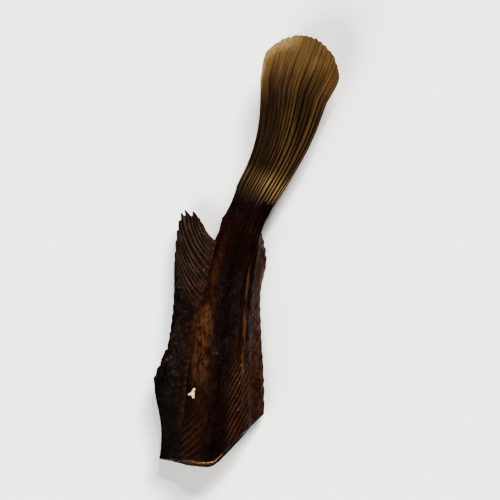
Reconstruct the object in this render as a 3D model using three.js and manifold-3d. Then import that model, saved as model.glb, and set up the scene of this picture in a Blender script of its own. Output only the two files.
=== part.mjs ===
// The tail piece of a dried catfish, lying on its side: a chopped trunk of flesh in its skin, and the three
// fins that stand on it. Each fin is a web stiffened by bony rays, and is dried fast to the trunk.
//
// Millimetres. +Y runs from the chopped end to the tail fin, +X towards the anal fin, and +Z is up. The piece
// rests on the flattened underside of its trunk, and the origin is at the middle of its outline, on that plane.

import * as THREE from "three";
import { mergeVertices } from "three/addons/utils/BufferGeometryUtils.js";
import Module from "manifold-3d";

const wasm = await Module();
wasm.setup();

// ---- Sizes ----

const gap = 0.3; // between a fin and the trunk that it stands on

// The trunk's end, where the tail fin is rooted.
const wrist = {
  bend: 21.5, // how far it lies off the line that the trunk starts on, along X
  depth: 18.4, // from back to belly
  thickness: 3,
  height: 9.2, // of its middle plane, above the plane that the piece rests on
};

const trunk = {
  length: 120, // from the chopped end to the root of the tail fin, along Y
  overrun: 30.5, // modelled past the chopped end, then taken off by the knife
  // share of the trunk's line, depth from back to belly, thickness from side to side, height of its middle
  // plane. Where the middle plane is lower than half the thickness, the underside is dried flat.
  sections: [
    [0, 33.2, 16.6, 7.2],
    [0.2, 32, 16.4, 7.2],
    [0.36, 30, 15.6, 6.9],
    [0.56, 26, 12.8, 5.6],
    [0.75, 21.4, 8.6, 5.4],
    [0.89, 16.4, 5.4, 7.4],
    [1, wrist.depth, wrist.thickness, wrist.height],
  ],
  groove: 0.24, // share of the thickness lost along the side line, on the upper side
  around: 40,
  rings: 34,
};

const tailFin = {
  length: 69, // along the middle ray
  cornerLength: 52, // along the outermost rays
  tipHalfWidth: 16.4, // across the fan, half of it, at the corners
  lean: 9.4, // degrees that the fan turns back from the line of the trunk's end
  bow: 2.6, // sideways swell of the fan's middle line
  rise: 7.5, // how much higher the tips dry than the root
  droop: 2.6, // how far the fan's two edges hang below its middle
  twist: -8, // degrees, turned about the fan's middle line at its tip
  rays: 15,
  web: 0.8, // thickness between the rays, at the root
  ray: 1.7, // thickness over a ray, at the root
  scallop: 0.6, // how far the web is drawn in between the ray tips
  rows: 11,
};

const dorsalFin = {
  side: -1, // it stands on the side of -X
  from: 0, // shares of the trunk's line between which its root runs
  to: 0.807,
  // share of the root, ray length, degrees that the ray leans out from +Y, how far the web is drawn in
  rayTable: [
    [0, 25, 10.5, 0.5],
    [0.12, 24, 12, 0.5],
    [0.22, 23.4, 17.5, 0.6],
    [0.31, 25.6, 25, 0.8],
    [0.38, 25, 21, 0.8],
    [0.46, 22.4, 18.5, 0.5],
    [0.6, 21.6, 20, 0.4],
    [0.72, 23.6, 23.5, 0.4],
    [0.82, 26.4, 24.5, 1],
    [0.88, 27, 25, 2.4],
    [0.93, 22.4, 25.5, 3],
    [0.97, 15.5, 28, 3],
    [1, 9, 42, 2],
  ],
  sweep: 18, // degrees that a ray turns back by its tip, and out at its root
  curl: 1.2, // how far its edge dries up, out of the trunk's middle plane
  rays: 30,
  web: 0.9, // thickness between the rays, at the root
  ray: 1.5, // thickness over a ray, at the root
  rows: 6,
};

const analFin = {
  side: 1,
  from: 0.1,
  to: 0.825,
  rayTable: [
    [0, 14, 34, 0.4],
    [0.3, 13.4, 33, 0.4],
    [0.5, 12.6, 29, 0.3],
    [0.68, 12, 27, 0.3],
    [0.84, 11.4, 35, 0.6],
    [1, 6.5, 26, 0.4],
  ],
  sweep: 8,
  curl: -4.4, // its edge folds down to the plane that the piece rests on
  rays: 22,
  web: 0.9,
  ray: 1.4,
  rows: 4,
};

const finRoot = 3.2; // how deep a fin's root runs into the trunk before the trunk is cut out of it
const rayColumns = 3; // columns of faces to one ray of the dorsal and anal fins
const tailRayColumns = 4; // and to one ray of the tail fin

// Two strokes of the knife meet at a corner that dried round.
const knife = {
  corner: new THREE.Vector2(2, 2),
  chopSlope: -7, // degrees, of the long stroke, towards -X
  trimSlope: 46, // degrees, of the short stroke, towards +X
  round: 5, // from the corner to where each stroke turns straight
  reach: 80, // longer than the trunk is deep
};

const skinColour = 0x3b2214;
const finColour = 0x6a4a22;

// ---- Curves and tables ----

// A smooth curve through hand-set values. Each row starts with its share, and column picks the value.
function through(rows, column) {
  const shares = rows.map((row) => row[0]);
  const values = rows.map((row) => row[column]);
  const curve = new THREE.CubicInterpolant(shares, values, 1);
  return (share) => curve.evaluate(THREE.MathUtils.clamp(share, 0, 1))[0];
}

// The trunk's middle line, seen from above.
const spine = new THREE.CubicBezierCurve(
  new THREE.Vector2(-2.9, -trunk.overrun),
  new THREE.Vector2(6.9, 0.21 * trunk.length),
  new THREE.Vector2(-0.7, 0.66 * trunk.length),
  new THREE.Vector2(wrist.bend, trunk.length),
);

const depth = through(trunk.sections, 1);
const thickness = through(trunk.sections, 2);
const middle = through(trunk.sections, 3);

// The point across the trunk, from -1 at the back to 1 at the belly, on its middle plane.
function onMiddle(share, across, extra = 0) {
  const centre = spine.getPoint(share);
  const ahead = spine.getTangent(share);
  const out = (across * depth(share)) / 2 + extra;
  return new THREE.Vector3(centre.x + ahead.y * out, centre.y - ahead.x * out, middle(share));
}

const restOnPlane = (point) => point.setZ(Math.max(point.z, 0));

// ---- Solids ----

// Moves each vertex of a unit primitive to place(x, y, z) and welds the result into one closed surface.
function shaped(primitive, place) {
  const position = primitive.getAttribute("position");
  for (let i = 0; i < position.count; i++) {
    const moved = place(position.getX(i), position.getY(i), position.getZ(i));
    position.setXYZ(i, moved.x, moved.y, moved.z);
  }
  return welded(primitive);
}

function welded(geometry) {
  geometry.deleteAttribute("normal");
  geometry.deleteAttribute("uv");
  return mergeVertices(geometry, 1e-4);
}

function toSolid(geometry) {
  const vertProperties = new Float32Array(geometry.getAttribute("position").array);
  const triVerts = new Uint32Array(geometry.index.array);
  return new wasm.Manifold(new wasm.Mesh({ numProp: 3, vertProperties, triVerts }));
}

function toGeometry(solid) {
  const { vertProperties, triVerts } = solid.getMesh();
  const geometry = new THREE.BufferGeometry();
  geometry.setAttribute("position", new THREE.BufferAttribute(vertProperties, 3));
  geometry.setIndex(new THREE.BufferAttribute(triVerts, 1));
  geometry.computeVertexNormals();
  return geometry;
}

// The trunk's solid, with its whole surface moved out by grow. Its section is a lens, thin towards the back and
// the belly, and the muscle either side of the side line stands as two soft ridges on the upper side.
function trunkSolid(grow = 0) {
  const tube = new THREE.CylinderGeometry(1, 1, 1, trunk.around, trunk.rings);
  return toSolid(
    shaped(tube, (x, y, z) => {
      const share = y + 0.5;
      const lens = Math.sign(z) * Math.abs(z) ** 1.2;
      const valley = z > 0 ? trunk.groove * Math.exp(-(((x - 0.25) / 0.3) ** 2)) : 0;
      const point = onMiddle(share, x, x * grow);
      point.z += lens * ((thickness(share) / 2) * (1 - valley) + grow);
      return grow ? point : restOnPlane(point);
    }),
  );
}

// 1 along the middle of a ray, 0 midway between two.
const crest = (fin, across) => 0.5 - 0.5 * Math.cos(2 * Math.PI * fin.rays * across);

// Rays stand above the web, and both thin out towards the fin's edge.
function finThickness(fin, across, out) {
  return (fin.web + (fin.ray - fin.web) * crest(fin, across)) * (1 - 0.45 * out);
}

// How much shorter the web is than the rays, at a share of the way out.
const drawnIn = (fin, across, out, scallop) => scallop * (1 - crest(fin, across)) * out ** 3;

// The tail fin is a rounded fan. Its root meets the trunk's end face to face.
function tailFinSolid() {
  const { length, cornerLength, rise, droop, rows, rays } = tailFin;
  const blade = new THREE.BoxGeometry(1, 1, 1, rays * tailRayColumns, rows, 1);
  const root = spine.getPoint(1);
  const turn = Math.atan2(spine.getTangent(1).x, spine.getTangent(1).y);
  const fanTurn = turn - THREE.MathUtils.degToRad(tailFin.lean);
  const twist = THREE.MathUtils.degToRad(tailFin.twist);
  const rootHalf = wrist.depth / 2 - gap;
  return toSolid(
    shaped(blade, (x, y, z) => {
      const across = 2 * x;
      const out = y + 0.5;
      const reach = cornerLength + (length - cornerLength) * Math.sqrt(Math.max(0, 1 - across ** 2));
      const ahead = gap + out * (reach - drawnIn(tailFin, x + 0.5, out, tailFin.scallop));
      const spread = (ahead / cornerLength) ** 1.5;
      const half = rootHalf + (tailFin.tipHalfWidth - rootHalf) * Math.min(spread, 1.15);
      const right = across * half + tailFin.bow * Math.sin(Math.PI * Math.min(ahead / 45, 1));
      // The root line stays square to the trunk, and the fan turns to its own line as it runs out.
      const angle = THREE.MathUtils.lerp(turn, fanTurn, THREE.MathUtils.smoothstep(ahead, 0, 14));
      const height =
        wrist.height +
        rise * (ahead / length) ** 1.2 -
        droop * across ** 2 * out +
        right * Math.tan(twist) * out;
      return new THREE.Vector3(
        root.x + right * Math.cos(angle) + ahead * Math.sin(fanTurn),
        root.y - right * Math.sin(angle) + ahead * Math.cos(fanTurn),
        height + z * finThickness(tailFin, x + 0.5, out),
      );
    }),
  );
}

// A fin along the trunk's edge. Its rays lean back towards the tail, so it runs on past the chopped end too.
function edgeFinSolid(fin) {
  const blade = new THREE.BoxGeometry(1, 1, 1, fin.rays * rayColumns, fin.rows, 1);
  const rayLength = through(fin.rayTable, 1);
  const rayLean = through(fin.rayTable, 2);
  const scallop = through(fin.rayTable, 3);
  return toSolid(
    shaped(blade, (x, y, z) => {
      const along = 0.5 - fin.side * x;
      const out = y + 0.5;
      const root = onMiddle(THREE.MathUtils.lerp(fin.from, fin.to, along), fin.side, -fin.side * finRoot);
      const lean = THREE.MathUtils.degToRad(rayLean(along));
      const reach = finRoot + rayLength(along) - drawnIn(fin, along, out, scallop(along));
      const bow = reach * Math.tan(THREE.MathUtils.degToRad(fin.sweep)) * out * (1 - out);
      root.x += fin.side * (Math.sin(lean) * out * reach + Math.cos(lean) * bow);
      root.y += Math.cos(lean) * out * reach - Math.sin(lean) * bow;
      root.z += fin.curl * out ** 1.6;
      const half = finThickness(fin, along, out) / 2;
      root.z = Math.max(root.z, half) + 2 * z * half;
      return root;
    }),
  );
}

// All that the knife takes off, as a plate with the line of its strokes for an edge.
function knifeSolid() {
  const { corner, reach, round } = knife;
  const chop = THREE.MathUtils.degToRad(180 + knife.chopSlope);
  const trim = THREE.MathUtils.degToRad(knife.trimSlope);
  const on = (angle, far) => [corner.x + Math.cos(angle) * far, corner.y + Math.sin(angle) * far];
  const stroke = new THREE.Shape();
  stroke.moveTo(...on(chop, reach));
  stroke.lineTo(corner.x - reach, corner.y - reach);
  stroke.lineTo(corner.x + reach, corner.y - reach);
  stroke.lineTo(...on(trim, reach));
  stroke.lineTo(...on(trim, round));
  stroke.quadraticCurveTo(corner.x, corner.y, ...on(chop, round));
  const plate = new THREE.ExtrudeGeometry(stroke, { depth: reach, bevelEnabled: false, curveSegments: 6 });
  plate.translate(0, 0, -reach / 2);
  return toSolid(welded(plate));
}

// ---- The piece ----

function named(name, solid, color) {
  const material = new THREE.MeshStandardMaterial({ color, roughness: 0.35, metalness: 0 });
  const mesh = new THREE.Mesh(toGeometry(solid), material);
  mesh.name = name;
  return mesh;
}

const takenOff = knifeSolid();
const room = trunkSolid(gap);
const piece = new THREE.Group();
piece.add(
  named("trunk", trunkSolid().subtract(takenOff), skinColour),
  named("tail_fin", tailFinSolid(), finColour),
  named("dorsal_fin", edgeFinSolid(dorsalFin).subtract(room).subtract(takenOff), finColour),
  named("anal_fin", edgeFinSolid(analFin).subtract(room).subtract(takenOff), finColour),
);

const outline = new THREE.Box3().setFromObject(piece);
const centre = outline.getCenter(new THREE.Vector3());
piece.position.set(-centre.x, -centre.y, -outline.min.z);

export default piece;
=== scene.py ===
# The tail piece of a dried catfish, lying on its side: the trunk with its chopped face, and the fins.
import math

import bmesh
import bpy
import numpy as np
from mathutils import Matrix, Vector, noise


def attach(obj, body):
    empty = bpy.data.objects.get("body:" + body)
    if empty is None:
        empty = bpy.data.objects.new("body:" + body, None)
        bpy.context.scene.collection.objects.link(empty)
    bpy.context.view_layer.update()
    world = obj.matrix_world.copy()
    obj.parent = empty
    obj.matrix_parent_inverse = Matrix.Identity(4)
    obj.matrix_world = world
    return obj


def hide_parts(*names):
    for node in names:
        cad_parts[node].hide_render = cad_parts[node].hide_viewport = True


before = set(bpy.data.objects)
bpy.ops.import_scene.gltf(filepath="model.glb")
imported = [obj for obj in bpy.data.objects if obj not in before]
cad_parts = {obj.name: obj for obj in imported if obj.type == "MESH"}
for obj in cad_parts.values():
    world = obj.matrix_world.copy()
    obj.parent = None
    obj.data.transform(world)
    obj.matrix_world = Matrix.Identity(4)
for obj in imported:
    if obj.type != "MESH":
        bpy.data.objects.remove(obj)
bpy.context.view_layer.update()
print("frame loaded")

mm = 0.001


# camera, floor and lights

studio = {
    "elevation": 78,  # degrees above the horizon, looking along +Y
    "distance": 1.25,
    "lens": 212,
    "aim": (0.001, 0.0, 0.006),
    "floorColor": (0.87, 0.865, 0.85, 1),
    "worldColor": (1.0, 0.99, 0.97, 1),
    "worldStrength": 0.09,
    "backdropStrength": 1.4,
    "look": "AgX - High Contrast",
    "lamps": [  # name, where it stands, degrees wide in the sky, power, color, whether gloss shows it
        ("key", (0.36, 0.74, 0.56), 24, 4.8, (1.0, 0.98, 0.95), False),
        ("fill", (-0.6, -0.75, 0.5), 40, 4.8, (0.98, 0.99, 1.0), True),
        ("glint", (0.1, 0.62, 0.75), 5, 1.1, (1.0, 1.0, 1.0), True),
    ],
}


def aimAt(thing, spot):
    thing.rotation_euler = (Vector(spot) - thing.location).to_track_quat("-Z", "Y").to_euler()


def softLight(name, spot, spread, power, color, glossy):
    lamp = bpy.data.lights.new(name, "SUN")
    lamp.angle, lamp.energy, lamp.color = math.radians(spread), power, color
    thing = bpy.data.objects.new(name, lamp)
    bpy.context.scene.collection.objects.link(thing)
    thing.location = spot
    thing.visible_glossy = glossy
    aimAt(thing, (0, 0, 0))


def setStudio():
    lift = math.radians(studio["elevation"])
    aim = Vector(studio["aim"])
    cameraData = bpy.data.cameras.new("camera")
    cameraData.lens = studio["lens"]
    cameraData.clip_start = 0.01
    camera = bpy.data.objects.new("camera", cameraData)
    bpy.context.scene.collection.objects.link(camera)
    camera.location = aim + studio["distance"] * Vector((0, -math.cos(lift), math.sin(lift)))
    aimAt(camera, aim)
    bpy.context.scene.camera = camera

    bpy.ops.object.select_all(action="DESELECT")
    bpy.ops.mesh.primitive_plane_add(size=6)
    floor = bpy.context.object
    floor.name = "floor"
    paint = bpy.data.materials.new("floorPaint")
    paint.use_nodes = True
    shader = paint.node_tree.nodes["Principled BSDF"]
    shader.inputs["Base Color"].default_value = studio["floorColor"]
    shader.inputs["Roughness"].default_value = 0.7
    floor.data.materials.append(paint)

    for lamp in studio["lamps"]:
        softLight(*lamp)
    bpy.context.scene.view_settings.look = studio["look"]
    world = bpy.data.worlds.new("world")
    bpy.context.scene.world = world
    world.use_nodes = True
    sky = world.node_tree.nodes["Background"]
    sky.inputs["Color"].default_value = studio["worldColor"]
    seen = world.node_tree.nodes.new("ShaderNodeLightPath")  # the backdrop looks as pale as the floor
    strength = world.node_tree.nodes.new("ShaderNodeMapRange")
    strength.inputs["To Min"].default_value = studio["worldStrength"]
    strength.inputs["To Max"].default_value = studio["backdropStrength"]
    world.node_tree.links.new(seen.outputs["Is Camera Ray"], strength.inputs["Value"])
    world.node_tree.links.new(strength.outputs["Result"], sky.inputs["Strength"])


setStudio()
print("studio set")


# shader sums

class Flow:
    # one output socket, so that patterns can be written as sums
    def __init__(self, paint, socket):
        self.paint, self.socket = paint, socket

    def __add__(self, other): return self.paint.maths("ADD", self, other)
    def __radd__(self, other): return self.paint.maths("ADD", other, self)
    def __sub__(self, other): return self.paint.maths("SUBTRACT", self, other)
    def __rsub__(self, other): return self.paint.maths("SUBTRACT", other, self)
    def __mul__(self, other): return self.paint.maths("MULTIPLY", self, other)
    def __rmul__(self, other): return self.paint.maths("MULTIPLY", other, self)


class Paint:
    # a material under construction
    def __init__(self, name):
        self.material = bpy.data.materials.new(name)
        self.material.use_nodes = True
        self.tree = self.material.node_tree
        self.shader = self.tree.nodes["Principled BSDF"]

    def feed(self, socket, value):
        if isinstance(value, Flow):
            self.tree.links.new(value.socket, socket)
        else:
            socket.default_value = value

    def node(self, kind, settings=None, inputs=None, out=0):
        made = self.tree.nodes.new("ShaderNode" + kind)
        for key, value in (settings or {}).items():
            setattr(made, key, value)
        for key, value in (inputs or {}).items():
            self.feed(made.inputs[key], value)
        return Flow(self, made.outputs[out])

    def maths(self, operation, *values):
        return self.node("Math", {"operation": operation}, dict(enumerate(values)))

    def between(self, value, low, high):  # 0 below low, 1 above high, smooth between
        return self.node("MapRange", {"interpolation_type": "SMOOTHSTEP"},
                         {"Value": value, "From Min": low, "From Max": high})

    def spots(self, scale, detail, roughness, stretch=None, where=None, warp=0):
        where = where or self.node("TexCoord", out="Object")
        if stretch:
            where = self.node("Mapping", inputs={"Vector": where, "Scale": stretch})
        return self.node("TexNoise", inputs={"Vector": where, "Scale": scale, "Detail": detail,
                                             "Roughness": roughness, "Distortion": warp})

    def cells(self, scale):
        where = self.node("TexCoord", out="Object")
        return self.node("TexVoronoi", inputs={"Vector": where, "Scale": scale})

    def threads(self, chart, scale, detail):  # streaks along the piece's own map
        where = self.node("Mapping", inputs={"Vector": chart, "Scale": scale})
        return self.spots(1, detail, 0.6, where=where)

    def relief(self, strength, distance, height):
        return self.node("Bump", inputs={"Strength": strength, "Distance": distance, "Height": height})

    def mix(self, factor, first, second):
        return self.node("Mix", {"data_type": "RGBA"}, {"Factor": factor, 6: first, 7: second}, out=2)

    def split(self, vector):
        first = self.node("SeparateXYZ", inputs={"Vector": vector})
        return [Flow(self, socket) for socket in first.socket.node.outputs]

    def grain(self):  # the piece's own map, and its two parts
        chart = self.node("UVMap", {"uv_map": "grain"})
        return chart, *self.split(chart)[:2]

    def mark(self, name):  # numbers kept on the piece's points
        return self.node("Attribute", {"attribute_name": name}, out="Fac")

    def finish(self, **sockets):
        for key, value in sockets.items():
            self.feed(self.shader.inputs[key.replace("_", " ")], value)
        return self.material


# the fish's own lines, in millimetres, as in the frame

fish = {
    "origin": (-16.726, -94.474),  # from the zero of these numbers to the middle of the outline
    "spine": [(-2.9, -30.5), (6.9, 25.2), (-0.7, 79.2), (21.5, 120)],
    # share of the line, depth from back to belly, thickness, height of the middle plane
    "sections": [(0, 33.2, 16.6, 7.2), (0.2, 32, 16.4, 7.2), (0.36, 30, 15.6, 6.9), (0.56, 26, 12.8, 5.6),
                 (0.75, 21.4, 8.6, 5.4), (0.89, 16.4, 5.4, 7.4), (1, 18.4, 3, 9.2)],
    "lens": 1.2,  # how thin the section runs out to the back and the belly
    "thinBack": 0.55,  # more of it, on the upper side towards the back
    "groove": 0.18,
    "corner": (2, 2),  # where the knife's two strokes meet
    "chopSlope": 7,
    "trimSlope": 46,
    "round": 2.2,
}


def through(rows, column):  # a smooth curve through given values
    place = np.array([row[0] for row in rows], float)
    value = np.array([row[column] for row in rows], float)
    slope = np.empty_like(value)
    slope[1:-1] = (value[2:] - value[:-2]) / (place[2:] - place[:-2])
    slope[0] = 1.5 * (value[1] - value[0]) / (place[1] - place[0]) - slope[1] / 2
    slope[-1] = 1.5 * (value[-1] - value[-2]) / (place[-1] - place[-2]) - slope[-2] / 2

    def at(share):
        share = np.clip(share, place[0], place[-1])
        i = np.clip(np.searchsorted(place, share, side="right") - 1, 0, len(place) - 2)
        width = place[i + 1] - place[i]
        t = (share - place[i]) / width
        return ((2 * t**3 - 3 * t**2 + 1) * value[i] + (t**3 - 2 * t**2 + t) * width * slope[i]
                + (3 * t**2 - 2 * t**3) * value[i + 1] + (t**3 - t**2) * width * slope[i + 1])

    return at


depthAt, thicknessAt, middleAt = (through(fish["sections"], column) for column in (1, 2, 3))


def step(value, low, high):  # 0 below low, 1 above high, smooth between
    t = np.clip((value - low) / (high - low), 0, 1)
    return t * t * (3 - 2 * t)


def spineAt(share):  # a point of the line and its direction, each as x and y
    a, b, c, d = (np.array(point, float)[:, None] for point in fish["spine"])
    t = np.asarray(share)
    spot = (1 - t)**3 * a + 3 * (1 - t)**2 * t * b + 3 * (1 - t) * t**2 * c + t**3 * d
    ahead = (1 - t)**2 * (b - a) + 2 * (1 - t) * t * (c - b) + t**2 * (d - c)
    return spot, ahead / np.hypot(*ahead)


def onMiddle(share, across, extra=0):  # across is -1 at the back, 1 at the belly
    spot, ahead = spineAt(share)
    out = across * depthAt(share) / 2 + extra
    return np.array([spot[0] + ahead[1] * out, spot[1] - ahead[0] * out, middleAt(share) + 0 * out])


def knifeLine(x):  # how far along Y the knife's line lies
    fromCorner = x - fish["corner"][0]
    chop = -fromCorner * math.tan(math.radians(fish["chopSlope"]))
    trim = fromCorner * math.tan(math.radians(fish["trimSlope"]))
    return fish["corner"][1] + (chop + trim + np.sqrt((chop - trim)**2 + fish["round"]**2)) / 2


def shareAtCut(across):  # where along its line the trunk is chopped
    low, high = np.zeros_like(across), np.full_like(across, 0.7)
    for _ in range(24):
        middle = (low + high) / 2
        spot = onMiddle(middle, across)
        past = spot[1] > knifeLine(spot[0])
        low, high = np.where(past, low, middle), np.where(past, middle, high)
    return (low + high) / 2


def rough(spots, size, octaves, seed):  # soft unevenness from about -1 to 1, with bumps of this size
    grid = (np.asarray(spots, float) / np.asarray(size, float).reshape(-1, 1)).T + seed
    return np.array([noise.fractal(Vector(spot), 0.8, 2.1, octaves) for spot in grid])


# modelling

def sliced(piece, axis, count):  # cuts every edge that runs along this axis into count lengths
    bpy.ops.object.mode_set(mode="EDIT")
    left = count
    while left > 1:
        cuts = max(n for n in range(1, 51) if left % n == 0)
        if cuts == 1:
            cuts = left
        bpy.ops.mesh.select_mode(type="EDGE")
        bpy.ops.mesh.select_all(action="DESELECT")
        mesh = bmesh.from_edit_mesh(piece.data)
        for edge in mesh.edges:
            run = edge.verts[0].co - edge.verts[1].co
            edge.select = abs(run[axis]) > 0.99 * run.length
        bmesh.update_edit_mesh(piece.data)
        bpy.ops.mesh.subdivide(number_cuts=cuts - 1, quadcorner="STRAIGHT_CUT")
        left //= cuts
    bpy.ops.object.mode_set(mode="OBJECT")


def corners(piece):  # the piece's points as three rows
    flat = np.empty(len(piece.data.vertices) * 3)
    piece.data.vertices.foreach_get("co", flat)
    return flat.reshape(-1, 3).T


# moves the points to spots, in millimetres, and keeps chart as a map
def settle(piece, name, spots, chart):
    spots = spots.copy()
    spots[0] += fish["origin"][0]
    spots[1] += fish["origin"][1]
    piece.data.vertices.foreach_set("co", (spots.T * mm).ravel())
    for layer in list(piece.data.uv_layers):
        piece.data.uv_layers.remove(layer)
    layer = piece.data.uv_layers.new(name="grain")
    which = np.empty(len(piece.data.loops), int)
    piece.data.loops.foreach_get("vertex_index", which)
    layer.data.foreach_set("uv", np.array(chart).T[which].ravel())
    piece.data.update()
    piece.name = piece.data.name = name
    bpy.ops.object.select_all(action="DESELECT")
    piece.select_set(True)
    bpy.context.view_layer.objects.active = piece
    bpy.ops.object.mode_set(mode="EDIT")
    bpy.ops.mesh.select_all(action="SELECT")
    bpy.ops.mesh.normals_make_consistent(inside=False)
    bpy.ops.object.mode_set(mode="OBJECT")
    bpy.ops.object.shade_smooth()


def mark(piece, name, values):  # keeps a number on every point
    layer = piece.data.attributes.new(name, "FLOAT", "POINT")
    layer.data.foreach_set("value", values)


def newPrimitive(add, **sizes):
    bpy.ops.object.select_all(action="DESELECT")
    add(**sizes)
    return bpy.context.object


# trunk

trunk = {
    "around": 192,
    "faceRings": 40,  # rings of the chopped face, from its middle out
    "rimRings": 4,  # over the edge of the skin
    "bodyRings": 300,
    "skin": 0.9,  # thickness of the dried skin at the chop
    "curl": 0.35,  # how far it stands out there
    "curlReach": 2.2,
    "swell": 0.5,  # how far the skin swells and sags
    "wrinkle": 0.14,
    "segment": 3.4,  # between the seams of the muscle
    "seamDepth": 0.46,
    "seamTable": [(-1, -8), (-0.15, 5), (0.2, 3), (0.6, 8), (1, 15)],  # across the trunk, along it
    "bellyFade": (22, 44),  # how far from the chop the seams fade out
    "napeFade": (12, 24),
    "creaseAt": 0.74,  # place of the fold that runs along the belly, across the trunk
    "crease": 0.3,
    "spurAt": 0.875,  # share of the line at which a stub stands on the back edge
    "sink": 1.5,  # how far the flesh dried back from the chop
    "layer": 1.7,  # between two layers of the flesh
    "layerStep": 0.6,
    "crack": 0.7,
    "boneAt": 0.17,  # place of the backbone, across the trunk
    "bone": 2.0,  # its radius
    "pit": 1.6,  # how deep it is hollow
    "spine": 0.4,  # how far the thin spines beside it stand out
    "spineReach": (7, 9.5),
}


def seams(along, across, seed):  # 1 on the seam between two muscle segments, which run in a flat W
    arrow = through(trunk["seamTable"], 1)(across) + 0.8 * seed
    beat = np.abs(((along - arrow) / trunk["segment"]) % 1 - 0.5) * 2
    return beat**4


def makeTrunk():
    around, faceRings, rimRings = trunk["around"], trunk["faceRings"], trunk["rimRings"]
    rings = faceRings + rimRings + trunk["bodyRings"]
    piece = newPrimitive(bpy.ops.mesh.primitive_cylinder_add, vertices=around, radius=1, depth=1,
                         end_fill_type="TRIFAN")
    sliced(piece, 2, rings)
    x, y, h = corners(piece)
    ring = np.round((h + 0.5) * rings)
    pole = np.hypot(x, y) < 0.5
    face = ring < faceRings + rimRings
    inFace = ring <= faceRings

    # how far out from the middle of the section each point lies
    out = np.where(inFace, (ring + 1) / (faceRings + 1), 1.0)
    out[pole] = 0
    rim = np.clip((ring - faceRings) / rimRings, 0, 1)
    edgeAcross = np.where(pole, 0, x)
    lens = fish["lens"] + fish["thinBack"] * step(-edgeAcross, 0.2, 0.9) * (y > 0)
    oval = np.sign(y) * np.abs(np.where(pole, 0, y))**lens
    across = out * edgeAcross + (1 - out) * trunk["boneAt"] * face

    cut = shareAtCut(across)
    along = np.clip((ring - faceRings - rimRings) / trunk["bodyRings"], 0, 1)
    share = cut + (1 - cut) * along
    valley = np.where(oval > 0, fish["groove"] * np.exp(-((edgeAcross - 0.25) / 0.3)**2), 0)
    halfThick = thicknessAt(share) / 2 * (1 - valley) * (1 - 0.5 * step(share, 0.97, 1))
    halfDeep = depthAt(share) / 2

    # the flesh lies a skin's thickness inside the outline
    inside = np.where(face, (1 - rim) * trunk["skin"], 0)
    spots = onMiddle(share, across)
    ahead = spineAt(share)[1]
    sideways = np.array([ahead[1], -ahead[0], 0 * ahead[0]])
    spots[2] += out * oval * halfThick
    normal = sideways * (edgeAcross / halfDeep) + np.array([0 * oval, 0 * oval, oval / halfThick])
    normal /= np.maximum(np.linalg.norm(normal, axis=0), 1e-6)
    spots -= normal * inside * np.minimum(out * 3, 1)

    # unevenness of the dried skin
    length = spots[1] - knifeLine(spots[0])
    swell = trunk["swell"] * rough(spots, [11, 15, 11], 3, 3.1)
    sag = rough(spots, [6, 9, 6], 2, 9.7)
    lengthwise = np.array([across * halfDeep, length, oval * 3])
    wrinkle = 1 - 2 * np.abs(rough(lengthwise, [1.7, 15, 2.5], 2, 5.3))
    seam = seams(length, across, sag)
    body = np.where(face, 0, 1) * (1 - step(share, 0.93, 1))
    patchy = 0.5 + 0.5 * rough(spots, [8, 12, 8], 2, 6.1)
    belly = step(across, 0.25, 0.5) * (1 - step(length, *trunk["bellyFade"]))
    nape = step(-across, 0.2, 0.5) * (1 - step(length, *trunk["napeFade"])) * 0.7
    fade = (belly + nape) * step(length, 0, 3) * (0.4 + 0.6 * patchy)
    fade *= 1 - step(np.abs(across), 0.86, 0.98)
    push = body * (swell + trunk["wrinkle"] * wrinkle - trunk["seamDepth"] * seam * fade)
    crease = np.exp(-((across - trunk["creaseAt"] + 0.02 * sag) / 0.035)**2)
    crease *= step(share, 0.3, 0.45) * (1 - step(share, 0.7, 0.8))
    push += body * trunk["crease"] * crease
    spur = np.exp(-((share - trunk["spurAt"]) / 0.02)**2) * step(-across, 0.7, 1)
    push += spur * (0.9 + 0.6 * rough(spots, [1.2, 1.2, 1.2], 2, 3.7)) * np.where(face, 0, 1)
    curl = trunk["curl"] + 0.6 * rough(spots, [5, 5, 5], 2, 1.9)
    curl = np.exp(-np.maximum(length, 0) / trunk["curlReach"]) * curl
    push += np.where(along > 0, curl, 0) * (1 - step(share, 0.5, 0.9)) * step(halfThick, 1, 4)
    push += np.where(face & (rim > 0), trunk["curl"] * rim, 0)
    spots += normal * push

    # the chopped face: flesh dried back in layers round the backbone, which stands out
    planeX = (across - trunk["boneAt"]) * halfDeep
    planeZ = spots[2] - middleAt(share)
    fromBone = np.hypot(planeX, planeZ)
    plane = np.array([planeX, planeZ, planeX * 0])
    warp = rough(plane, [4.5, 3.5, 1], 3, 5.1)
    lobe = np.hypot(np.abs(planeX) - 7, planeZ * 1.25) + 1.7 * warp
    flake = lobe / trunk["layer"] % 1  # the muscle's layers dried apart, each one a step
    layers = flake**2 * (0.3 + 0.7 * step(warp, -0.3, 0.4))
    crack = np.clip(1 - np.abs(rough(plane, [5, 4, 1], 2, 7.3)) / 0.05, 0, 1)
    torn = rough(plane, [1.2, 1.2, 1], 3, 2.2)
    into = trunk["sink"] * (1 - out**7) - trunk["layerStep"] * layers - 0.2 * torn
    into += trunk["crack"] * crack * (1 - out**3)
    bone = 1 - step(fromBone + 0.25 * torn, trunk["bone"], trunk["bone"] + 0.35)
    pit = np.clip(1 - fromBone / (0.75 * trunk["bone"]), 0, 1)
    thin = 0.5 - 0.035 * np.abs(planeX)
    spine = (1 - step(np.abs(planeZ - 0.12 * planeX - 0.25 * warp), thin * 0.5, thin + 0.15))
    spine *= 1 - step(np.abs(planeX), *trunk["spineReach"])
    into = into * (1 - bone) + bone * (0.35 + trunk["pit"] * pit)
    into -= trunk["spine"] * spine * (1 - bone)
    into = np.where(face, into * (1 - rim), 0)
    spots += np.array([ahead[0], ahead[1], 0 * ahead[0]]) * into
    spots[2] = np.maximum(spots[2], 0)

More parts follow.
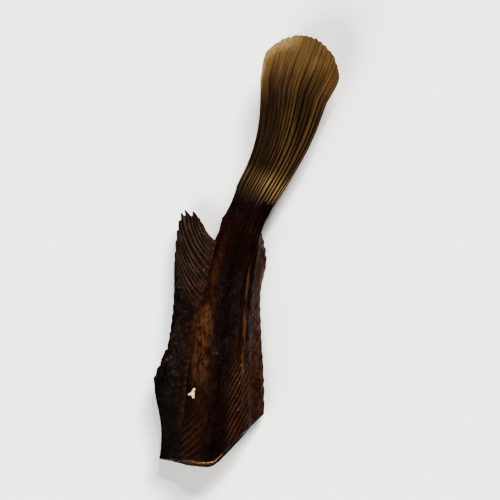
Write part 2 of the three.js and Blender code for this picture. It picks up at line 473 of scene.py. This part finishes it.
    settle(piece, "trunkPiece", spots, [share, (across + 1) / 2])
    mark(piece, "seam", seam * fade * body)
    mark(piece, "crease", crease)
    mark(piece, "outward", out)
    mark(piece, "flake", flake)
    mark(piece, "crack", crack)
    piece.data.materials.clear()
    for paint in (skinPaint(), fleshPaint(), bonePaint()):
        piece.data.materials.append(paint)
    flesh, hard = inFace | (face & (rim < 0.6)), (bone + spine > 0.6) & inFace
    for polygon in piece.data.polygons:
        points = list(polygon.vertices)
        polygon.material_index = 2 if hard[points].all() else 1 if flesh[points].all() else 0
    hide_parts("trunk")
    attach(piece, "root")
    print("trunk", len(piece.data.polygons))
    return piece


def skinPaint():
    paint = Paint("driedSkin")
    _, along, across = paint.grain()
    cloud = paint.spots(95, 5, 0.6)
    patch = paint.spots(45, 4, 0.55, stretch=(1.6, 0.8, 1.6))
    streak = paint.spots(60, 5, 0.65, stretch=(7, 1.3, 7), warp=0.4)
    mottle = paint.spots(420, 4, 0.65, stretch=(1.5, 0.6, 1.5))
    fine = paint.spots(1100, 3, 0.6)
    seam, crease = paint.mark("seam"), paint.mark("crease")

    def band(middle, width, value):  # 1 along a line of the trunk, fading to each side
        off = paint.maths("ABSOLUTE", value - middle)
        return 1 - paint.between(off, width * 0.3, width)

    wander = across + (patch - 0.5) * 0.14
    rear = 1 - paint.between(along, 0.79, 0.92)
    speck = paint.between(mottle, 0.36, 0.62)
    # a golden band along the back's flank: partly the skin's own golden brown, partly painted light on
    # the side of the ridge that faces the light
    litGoldenFlank = band(0, 0.24, wander - 0.444 + along * 0.42) * paint.between(wander, 0.05, 0.2)
    litGoldenFlank = litGoldenFlank * rear * (0.3 + 0.7 * paint.between(along, 0.34, 0.56))
    side = paint.between(wander, 0.66, 0.78) * (1 - 0.7 * paint.between(along, 0.42, 0.76))
    color = paint.mix(paint.between(streak, 0.35, 0.7),
                      (0.0044, 0.0012, 0.0007, 1), (0.013, 0.0037, 0.0016, 1))
    # the golden band's painted light, in two tones
    color = paint.mix(litGoldenFlank * (0.45 + 0.55 * speck), color, (0.036, 0.0115, 0.0046, 1))
    color = paint.mix(litGoldenFlank * paint.between(patch, 0.4, 0.6) * speck, color, (0.085, 0.037, 0.017, 1))
    color = paint.mix(side * (0.4 + 0.6 * speck), color, (0.021, 0.0052, 0.0016, 1))
    # dark skin down the middle of the trunk: partly its own colour, partly painted shade in the groove
    # and on the flank turned from the light
    color = paint.mix(band(0.52, 0.22, wander) * 0.6, color, (0.008, 0.0018, 0.001, 1))
    color = paint.mix(paint.between(along, 0.78, 0.9) * 0.6, color, (0.013, 0.0033, 0.0018, 1))
    color = paint.mix(paint.between(cloud, 0.54, 0.7) * 0.55, color, (0.0022, 0.001, 0.0008, 1))
    # pale lines along the muscle seams: painted highlights on the seams' edges
    color = paint.mix(seam * 0.75, color, (0.13, 0.058, 0.024, 1))
    # a pale line along the belly's fold: a painted highlight on the crease
    color = paint.mix(crease * paint.between(streak, 0.4, 0.6) * 0.6, color, (0.13, 0.06, 0.025, 1))
    color = paint.mix(paint.between(fine, 0.58, 0.75) * 0.35, color, (0.06, 0.03, 0.014, 1))

    grit = paint.cells(1300)
    folds = paint.spots(260, 4, 0.6, stretch=(2.2, 0.7, 2.2))
    height = (grit * 0.3 + folds * 0.5 + fine * 0.5) * (1 - 0.5 * paint.between(along, 0.75, 0.9))
    bump = paint.relief(0.55, 0.0006, height)
    wet = paint.between(fine, 0.54, 0.62) * 0.45
    return paint.finish(Base_Color=color, Normal=bump, Specular_IOR_Level=0.17,
                        Roughness=0.39 + cloud * 0.12 - paint.between(mottle, 0.52, 0.66) * 0.1,
                        Coat_Weight=wet, Coat_Roughness=0.24)


def fleshPaint():
    paint = Paint("driedFlesh")
    cloud = paint.spots(240, 5, 0.6)
    fine = paint.spots(1300, 4, 0.6)
    color = paint.mix(paint.between(cloud, 0.35, 0.65), (0.095, 0.026, 0.007, 1), (0.21, 0.075, 0.02, 1))
    color = paint.mix(paint.between(fine, 0.5, 0.7) * 0.25, color, (0.055, 0.014, 0.005, 1))
    sideways = paint.split(paint.node("TexCoord", out="Object"))[0]
    trimmed = paint.between(sideways, -0.0185, -0.0125)  # the short stroke dried darker
    edge = paint.between(paint.mark("outward") + (cloud - 0.5) * 0.3, 0.66, 0.94)
    dry = paint.maths("MAXIMUM", trimmed * 0.94, edge * 0.85)
    color = paint.mix(paint.mark("flake") * 0.35, color, (0.34, 0.15, 0.05, 1))
    color = paint.mix(paint.mark("crack") * 0.85, color, (0.05, 0.012, 0.004, 1))
    color = paint.mix(dry, color, (0.014, 0.0046, 0.002, 1))
    bump = paint.relief(0.35, 0.0004, cloud * 0.6 + fine * 0.5)
    return paint.finish(Base_Color=color, Roughness=0.44 + fine * 0.15, Normal=bump,
                        Specular_IOR_Level=0.15, Subsurface_Weight=0.15,
                        Subsurface_Radius=(0.6, 0.25, 0.1), Subsurface_Scale=0.002)


def bonePaint():
    paint = Paint("bone")
    cloud = paint.spots(500, 4, 0.6)
    color = paint.mix(paint.between(cloud, 0.35, 0.7), (0.4, 0.26, 0.12, 1), (0.2, 0.09, 0.03, 1))
    bump = paint.relief(0.4, 0.0003, cloud)
    return paint.finish(Base_Color=color, Roughness=0.5 + cloud * 0.1, Normal=bump)


# tail fin

tailFin = {
    "length": 69,  # of the middle rays
    "cornerLength": 52,  # of the outer ones
    "tipHalfWidth": 16.4,
    "lean": 9.4,  # degrees off the trunk's line, towards the back
    "bow": 2.6,  # how far it bends towards the belly on the way
    "bowLength": 45,
    "rise": 7.5,  # from the root to the tip
    "droop": 2.6,  # from the middle to the edges
    "twist": -8,  # degrees
    "rays": 15,
    "web": 0.6,  # thickness between rays
    "ray": 1.05,  # over a ray, near the root
    "lap": 13.0,  # how far the fin's skin runs back over the trunk's end
    "scallop": 0.3,
    "lip": 2.2,  # how far the corner towards the back dries down
    "ragged": 0.45,  # how uneven its edge is
    "sunk": 0.75,  # how deep under the trunk's skin its own begins
    "blend": (-1, 15),  # from where to where it thins down to a web
    "billow": 0.8,  # how uneven it lies
    "slack": 0.22,  # how far the web sags between two rays
    "joint": 1.25,  # between the joints of a ray
    "columns": 240,
    "rows": 160,
}


# height over the rays, from 0 to 1; they are ribs at the root and spread on their way out
def raySet(place, out, spread):
    away = np.abs(place % 1 - 0.5)
    width = 0.26 + 0.2 * step(out, 0.18, 0.4) * spread
    rib = np.clip(1 - (away / width)**2, 0, 1)**0.7
    fork = np.exp(-(away / 0.07)**2) * step(out, 0.35, 0.6) * spread
    return rib * (1 - 0.45 * fork)


def makeTailFin():
    fin = tailFin
    piece = newPrimitive(bpy.ops.mesh.primitive_cube_add, size=1)
    sliced(piece, 0, fin["columns"])
    sliced(piece, 1, fin["rows"])
    x, y, z = corners(piece)
    across, out = 2 * x, y + 0.5
    place = (x + 0.5) * fin["rays"] + 0.3 * np.sin(5.3 * across + 1) + 0.16 * np.sin(13 * across)
    ridge = raySet(place, out, 1)
    crest = 0.5 - 0.5 * np.cos(2 * np.pi * (x + 0.5) * fin["rays"])
    ragged = rough(np.array([x * 26, 0 * x, 0 * x]), [1, 1, 1], 4, 4.4)
    rounded = np.sqrt(np.maximum(0, 1 - across**2))
    reach = fin["cornerLength"] + (fin["length"] - fin["cornerLength"]) * rounded
    reach = reach - out**3 * (fin["scallop"] * (1 - crest) + fin["ragged"] * ragged)
    ahead = -fin["lap"] + out * (reach + fin["lap"])
    forward = np.maximum(ahead, 0)

    # over the trunk's end the fin is a skin that comes up out of the trunk's own
    before, end = (np.array(point, float) for point in fish["spine"][2:])
    share = 1 + np.minimum(ahead, 0) / (3 * np.hypot(*(end - before)))
    patch = rough(np.array([across * 9, ahead, 0 * x]), [2.2, 3.5, 1], 3, 1.2)
    over = -fin["sunk"] + 0.9 * step(ahead, -12, -1) + 0.3 * patch * (1 - step(ahead, -3, 1))
    wide = 1 + over / 9
    spots = onMiddle(share, across * wide)

    # and past it the fin fans out
    (rootX, rootY), (aheadX, aheadY) = spineAt(np.ones(1))
    turn = math.atan2(aheadX[0], aheadY[0])
    fanTurn = turn - math.radians(fin["lean"])
    rootHalf = depthAt(1) / 2 * wide
    spread = np.minimum((forward / fin["cornerLength"])**1.5, 1.15)
    half = rootHalf + (fin["tipHalfWidth"] - rootHalf) * spread
    right = across * half + fin["bow"] * np.sin(np.pi * np.minimum(forward / fin["bowLength"], 1))
    angle = turn + (fanTurn - turn) * step(forward, 0, 14)
    lip = fin["lip"] * step(out, 0.8, 1.02) * step(-across, -0.1, 0.9)
    height = middleAt(1) + fin["rise"] * (forward / fin["length"])**1.2
    height = height - fin["droop"] * across**2 * out**2 - lip
    height = height + right * math.tan(math.radians(fin["twist"])) * out**1.5
    fan = np.array([rootX[0] + right * np.cos(angle) + forward * np.sin(fanTurn),
                    rootY[0] - right * np.sin(angle) + forward * np.cos(fanTurn), height])
    spots = np.where(ahead > 0, fan, spots)
    spots[2] += fin["billow"] * rough(spots, [12, 30, 12], 2, 7.7) * step(ahead, 2, 20)
    slack = rough(np.array([place, forward, 0 * x]), [0.8, 5, 1], 2, 8.1)
    spots[2] += fin["slack"] * slack * step(ahead, 4, 20) * (1 - ridge)

    taper = 1 - 0.6 * out
    blade = (fin["web"] * (1 - 0.4 * out) + (fin["ray"] - fin["web"]) * ridge * taper) / 2
    joints = 0.03 * np.cos(2 * np.pi * forward / fin["joint"]) * ridge * step(ahead, 8, 16)
    lens = np.clip(1 - across**2, 0, 1)**(fish["lens"] / 2)
    trunkEnd = thicknessAt(share) / 2 * lens + 0.7 * over
    blend = step(ahead, *fin["blend"])
    halfThick = trunkEnd * (1 - blend) + (blade + joints) * blend
    halfThick += 0.16 * (ridge - 0.4) * step(ahead, -7, 6) * (1 - blend)
    edge = np.clip((1 - np.abs(across)) / 0.03, 0, 1)
    spots[2] += 2 * z * np.maximum(halfThick * (0.4 + 0.6 * edge), 0.08)
    settle(piece, "tailFinPiece", spots, [place / 10, (ahead + 20) / 100])
    mark(piece, "outward", out)
    mark(piece, "across", across)
    piece.data.materials.clear()
    piece.data.materials.append(tailFinPaint())
    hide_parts("tail_fin")
    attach(piece, "root")
    print("tail fin", len(piece.data.polygons))


def tailFinPaint():
    paint = Paint("tailFinWeb")
    chart, place, forward = paint.grain()
    ahead = forward * 100 - 20
    out, across = paint.mark("outward"), paint.mark("across")
    streak = paint.threads(chart, (50, 9, 1), 4)
    thread = paint.threads(chart, (120, 8, 1), 3)
    bundle = paint.threads(chart, (9, 2.4, 1), 3)
    cloud = paint.spots(75, 4, 0.6)
    fine = paint.spots(900, 3, 0.6)

    away = paint.maths("ABSOLUTE", paint.maths("FRACT", place * 10 + (streak - 0.5) * 0.2) - 0.5)
    rib = 1 - paint.between(away, 0.16, 0.34)
    spread = paint.between(ahead + streak * 5, 5, 14)
    valley = paint.between(away + 0.09 * (1 - paint.between(out, 0.5, 0.9)), 0.3, 0.46)
    fork = (1 - paint.between(away, 0.02, 0.09)) * paint.between(out, 0.35, 0.6)
    nearBack = 1 - paint.between(across + cloud * 0.4, -0.4, 0.5)
    tip = paint.between(out, 0.62, 0.95)

    skin = (0.009, 0.0026, 0.0014, 1)
    web = paint.mix(paint.between(streak, 0.35, 0.65), (0.02, 0.0095, 0.0032, 1), (0.1, 0.055, 0.019, 1))
    web = paint.mix((1 - nearBack) * (1 - tip) * 0.5, web, (0.1, 0.058, 0.02, 1))
    web = paint.mix(nearBack * (1 - tip) * 0.7, web, (0.015, 0.0075, 0.0035, 1))
    web = paint.mix(tip * 0.8, web, (0.145, 0.09, 0.036, 1))
    web = paint.mix(paint.between(bundle, 0.46, 0.62) * (0.7 - 0.35 * tip), web,
                    (0.014, 0.006, 0.0024, 1))
    # dark lines between the rays: partly the web's own colour, partly painted shade where the web sags
    # between them
    web = paint.mix(valley * (0.95 - 0.5 * tip) * (1 - 0.5 * nearBack), web, (0.0035, 0.0014, 0.0008, 1))
    web = paint.mix(fork * 0.4, web, (0.012, 0.005, 0.002, 1))
    web = paint.mix(paint.between(thread, 0.52, 0.68) * 0.4, web, (0.012, 0.006, 0.0025, 1))
    web = paint.mix(paint.between(cloud, 0.56, 0.7) * 0.3, web, (0.014, 0.0065, 0.0025, 1))
    # a pale rim at the fin's end and back edge: partly its own pale edge, partly painted light shining
    # through the thin edge, with a painted highlight
    end = paint.between(out + cloud * 0.08, 0.93, 1.03)
    backEdge = paint.between(0 - across + cloud * 0.1, 0.92, 1.03) * paint.between(out, 0.74, 0.9)
    rim = paint.maths("MAXIMUM", end, backEdge) * (1 - paint.between(across + cloud * 0.5, -0.4, 0.2))
    rim = rim * (0.55 + 0.45 * paint.between(fine, 0.4, 0.6))
    web = paint.mix(rim * 0.75, web, (0.31, 0.23, 0.12, 1))
    golden = paint.mix(rib * (0.35 + 0.65 * paint.between(thread, 0.25, 0.55)),
                       (0.014, 0.0055, 0.0018, 1), (0.22, 0.145, 0.066, 1))
    golden = paint.mix(nearBack * 0.6, golden, (0.02, 0.009, 0.003, 1))
    color = paint.mix(spread, golden, web)
    cover = paint.between(ahead + cloud * 8 + thread * 4, -2, 13)
    color = paint.mix(1 - cover, color, skin)
    bump = paint.relief(0.3, 0.0003, fine * 0.5 + thread * 0.7)
    return paint.finish(Base_Color=color, Normal=bump, Specular_IOR_Level=0.2,
                        Roughness=0.5 + cloud * 0.12 - paint.between(fine, 0.5, 0.66) * 0.1,
                        Subsurface_Weight=0.12, Subsurface_Radius=(0.8, 0.4, 0.15),
                        Subsurface_Scale=0.002)


# fins on the back and the belly

dorsalFin = {
    "name": "dorsalFinPiece",
    "node": "dorsal_fin",
    "side": -1,
    "from": 0, "to": 0.807,  # shares of the trunk's line
    # share of the root, ray length, degrees out from +Y, how far the web is drawn in
    "rayTable": [(0, 25, 10.5, 0.5), (0.12, 24, 12, 0.5), (0.22, 23.4, 17.5, 0.6), (0.31, 25.6, 25, 0.8),
                 (0.38, 25, 21, 0.8), (0.46, 22.4, 18.5, 0.5), (0.6, 21.6, 20, 0.4),
                 (0.72, 23.6, 23.5, 0.4), (0.82, 26.4, 24.5, 1), (0.88, 27, 25, 2.4),
                 (0.93, 22.4, 25.5, 3), (0.97, 15.5, 28, 3), (1, 9, 42, 2)],
    "sweep": 18,  # degrees by which the rays bow
    "curl": 1.2,  # how far the edge dries up
    "rays": 30,
    "bare": 0.76,  # share of the root from which the rays stand free of skin
    "web": 0.7,  # thickness between rays
    "ray": 1.0,  # over a ray
    "fillet": 2.5,  # thickness added at the root
    "blend": 6,  # how far out that fades
    "columns": 360,
    "rows": 60,
    "warm": (5, 15),  # where the skin's brown ends, out from the root
    "warmColor": (0.04, 0.015, 0.0045, 1),
    "coolColor": (0.009, 0.0032, 0.0014, 1),
    "dark": (0.3, 0.5),  # where the dark front ends
}

analFin = {
    "name": "analFinPiece",
    "node": "anal_fin",
    "side": 1,
    "from": 0.1, "to": 0.825,
    "rayTable": [(0, 14, 34, 0.4), (0.3, 13.4, 33, 0.4), (0.5, 12.6, 29, 0.3), (0.68, 12, 27, 0.3),
                 (0.84, 11.4, 35, 0.6), (1, 6.5, 26, 0.4)],
    "sweep": 8,
    "curl": -4.4,
    "rays": 22,
    "bare": 0.5,
    "web": 0.7,
    "ray": 0.95,
    "fillet": 1.8,
    "blend": 4,
    "columns": 264,
    "rows": 36,
    "warm": (16, 24),
    # made brighter than the fin's own brown: painted light against the shade that the fin lies in
    "warmColor": (0.05, 0.0145, 0.0042, 1),
    "coolColor": (0.02, 0.006, 0.0022, 1),
    "dark": (-1, -0.5),  # it has no dark front
}

edgeFins = {
    "root": 3.2,  # how deep they run into the trunk
    "wave": 0.8,  # how uneven they lie
    "grit": 0.14,
    "behindChop": 0.25,  # how far their cut lies behind the trunk's
}


def makeEdgeFin(fin):
    side = fin["side"]
    piece = newPrimitive(bpy.ops.mesh.primitive_cube_add, size=1)
    sliced(piece, 0, fin["columns"])
    sliced(piece, 1, fin["rows"])
    x, y, z = corners(piece)
    along, out = 0.5 - side * x, y + 0.5
    rayLength, rayLean, drawnIn = (through(fin["rayTable"], column)(along) for column in (1, 2, 3))
    share = fin["from"] + along * (fin["to"] - fin["from"])
    spots = onMiddle(share, side + 0 * along, -side * edgeFins["root"])
    nudge = 0.25 * np.sin(17 * along + 1) + 0.12 * np.sin(53 * along)
    place = along * fin["rays"] + nudge
    crest = 0.5 - 0.5 * np.cos(2 * np.pi * along * fin["rays"])
    jag = rough(np.array([along * 70, 0 * x, 0 * x]), [1, 1, 1], 3, 6.6 + side)
    lean = np.radians(rayLean)
    reach = edgeFins["root"] + rayLength
    reach = reach - out**3 * (drawnIn * (1 - crest) + 0.8 * jag * (0.3 + 0.5 * drawnIn))
    fromRoot = out * reach
    bow = reach * math.tan(math.radians(fin["sweep"])) * out * (1 - out)
    spots[0] += side * (np.sin(lean) * fromRoot + np.cos(lean) * bow)
    spots[1] += np.cos(lean) * fromRoot - np.sin(lean) * bow
    spots[2] += fin["curl"] * out**1.6
    wave = rough(spots, [7, 9, 7], 3, 2.4 + side)
    spots[2] += edgeFins["wave"] * wave * step(out, 0.3, 0.9)
    ridge = raySet(place * 2, 0.25 * out, 0.6)
    # the rays stand out where the web is bare
    stiff = 0.06 + 0.94 * step(along, fin["bare"] - 0.08, fin["bare"] + 0.06)
    rays = (fin["ray"] - fin["web"]) * ridge * stiff * (1 - 0.35 * out)
    blade = (fin["web"] * (1 - 0.3 * out) + rays) / 2
    fillet = fin["fillet"] * np.exp(-np.maximum(fromRoot - 3.5, 0) / fin["blend"])
    fillet *= 1 - 0.75 * step(along, 0.8, 1)
    grit = rough(spots, [1.1, 1.6, 1.1], 3, 8.3) * (1 - 0.7 * stiff)
    half = blade + fillet + edgeFins["grit"] * grit * step(fromRoot, 3, 8)
    spots[2] = np.maximum(spots[2], half) + 2 * z * half
    settle(piece, fin["name"], spots, [place / 10, fromRoot / 100])
    mark(piece, "stiff", stiff)
    cutByKnife(side)
    piece.data.materials.clear()
    piece.data.materials.append(edgeFinPaint(fin))
    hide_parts(fin["node"])
    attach(piece, "root")
    print(fin["node"], len(piece.data.polygons))


def cutByKnife(side):  # a flat cut through the fin just settled, and the cut face is closed
    slope = math.radians(fish["trimSlope"] if side > 0 else -fish["chopSlope"])
    cornerX = (fish["corner"][0] + fish["origin"][0]) * mm
    cornerY = (fish["corner"][1] + fish["origin"][1] + edgeFins["behindChop"]) * mm
    bpy.ops.object.mode_set(mode="EDIT")
    bpy.ops.mesh.select_all(action="SELECT")
    bpy.ops.mesh.bisect(plane_co=(cornerX, cornerY, 0), use_fill=True, clear_inner=True,
                        plane_no=(-math.sin(slope), math.cos(slope), 0))
    bpy.ops.object.mode_set(mode="OBJECT")


def edgeFinPaint(fin):
    paint = Paint(fin["node"].replace("_f", "F") + "Web")
    chart, place, outward = paint.grain()
    out, stiff = outward * 100, paint.mark("stiff")
    streak = paint.threads(chart, (40, 14, 1), 4)
    cloud = paint.spots(80, 4, 0.6)
    mottle = paint.spots(420, 4, 0.65)
    fine = paint.spots(950, 3, 0.6)
    away = paint.maths("ABSOLUTE", paint.maths("FRACT", place * 20 + (streak - 0.5) * 0.3) - 0.5)
    ray = 1 - paint.between(away, 0.1, 0.34)
    bare = paint.between(stiff, 0.12, 0.9)

    web = paint.mix(paint.between(cloud, 0.35, 0.65),
                    (0.004, 0.0017, 0.0012, 1), (0.011, 0.0052, 0.0034, 1))
    web = paint.mix(bare * 0.7, web, (0.005, 0.002, 0.001, 1))
    color = paint.mix(ray * paint.between(streak, 0.3, 0.62) * (0.03 + 0.77 * bare), web,
                      (0.075, 0.039, 0.021, 1))
    # grey mottle and pale specks: partly the fin's own mottling, partly painted sheen and glints
    color = paint.mix(paint.between(mottle, 0.5, 0.66) * (0.55 - 0.4 * bare), color,
                      (0.036, 0.021, 0.0155, 1))
    color = paint.mix(paint.between(fine, 0.6, 0.75) * 0.5, color, (0.1, 0.075, 0.06, 1))
    root = 1 - paint.between(out + cloud * 8, *fin["warm"])
    warm = paint.mix(paint.between(mottle, 0.4, 0.62), fin["coolColor"], fin["warmColor"])
    color = paint.mix(root * 0.85, color, warm)
    front = 1 - paint.between(place * (10 / fin["rays"]) + (cloud - 0.5) * 0.2, *fin["dark"])
    color = paint.mix(front * 0.65, color, (0.002, 0.0008, 0.0006, 1))
    bump = paint.relief(0.55, 0.0006, fine * 0.7 + mottle * 0.6)
    wet = paint.between(fine, 0.54, 0.62) * 0.45
    return paint.finish(Base_Color=color, Normal=bump, Specular_IOR_Level=0.22,
                        Roughness=0.38 + cloud * 0.14 - paint.between(fine, 0.5, 0.66) * 0.1,
                        Coat_Weight=wet, Coat_Roughness=0.24)


# a crumb of dried flesh that sticks to the skin

crumb = {
    "place": (-6.5, 32),
    "arms": [(65, 1.0), (200, 0.85), (285, 0.9), (345, 0.55)],  # degrees, share of the reach
    "reach": 2.4,
    "core": 0.32,  # share of the reach that is filled all round
    "thick": 0.5,
    "lift": 0.15,  # how far its middle lies above the skin
}


def makeCrumb(skin):
    piece = newPrimitive(bpy.ops.mesh.primitive_uv_sphere_add, segments=48, ring_count=24, radius=1)
    px, py, pz = corners(piece)
    angle = np.arctan2(py, px)
    core, reach = crumb["core"], crumb["reach"]
    star = core + sum((length - core) * np.clip(np.cos(angle - math.radians(turn)), 0, 1)**9
                      for turn, length in crumb["arms"])
    star *= 1 + 0.35 * rough(np.array([np.cos(angle), np.sin(angle), 0 * angle]), [0.6, 0.6, 1], 2, 5.5)
    uneven = rough(np.array([px, py, pz]), [0.5, 0.5, 0.5], 2, 1.5)
    x, y = crumb["place"][0] + px * reach * star, crumb["place"][1] + py * reach * star
    above = [((a + fish["origin"][0]) * mm, (b + fish["origin"][1]) * mm, 0.1) for a, b in zip(x, y)]
    under = np.array([skin.ray_cast(spot, (0, 0, -1))[1].z / mm for spot in above])
    spots = np.array([x, y, under + crumb["lift"] + pz * crumb["thick"] * (1 + 0.4 * uneven)])
    settle(piece, "crumbPiece", spots, [px, py])
    piece.data.materials.clear()
    piece.data.materials.append(crumbPaint())
    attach(piece, "root")
    print("crumb", len(piece.data.polygons))


def crumbPaint():
    paint = Paint("driedCrumb")
    cloud = paint.spots(900, 3, 0.6)
    color = paint.mix(paint.between(cloud, 0.35, 0.65), (0.75, 0.6, 0.38, 1), (0.42, 0.26, 0.1, 1))
    bump = paint.relief(0.4, 0.0003, cloud)
    return paint.finish(Base_Color=color, Roughness=0.5 + cloud * 0.1, Normal=bump)


makeCrumb(makeTrunk())
makeTailFin()
makeEdgeFin(dorsalFin)
makeEdgeFin(analFin)
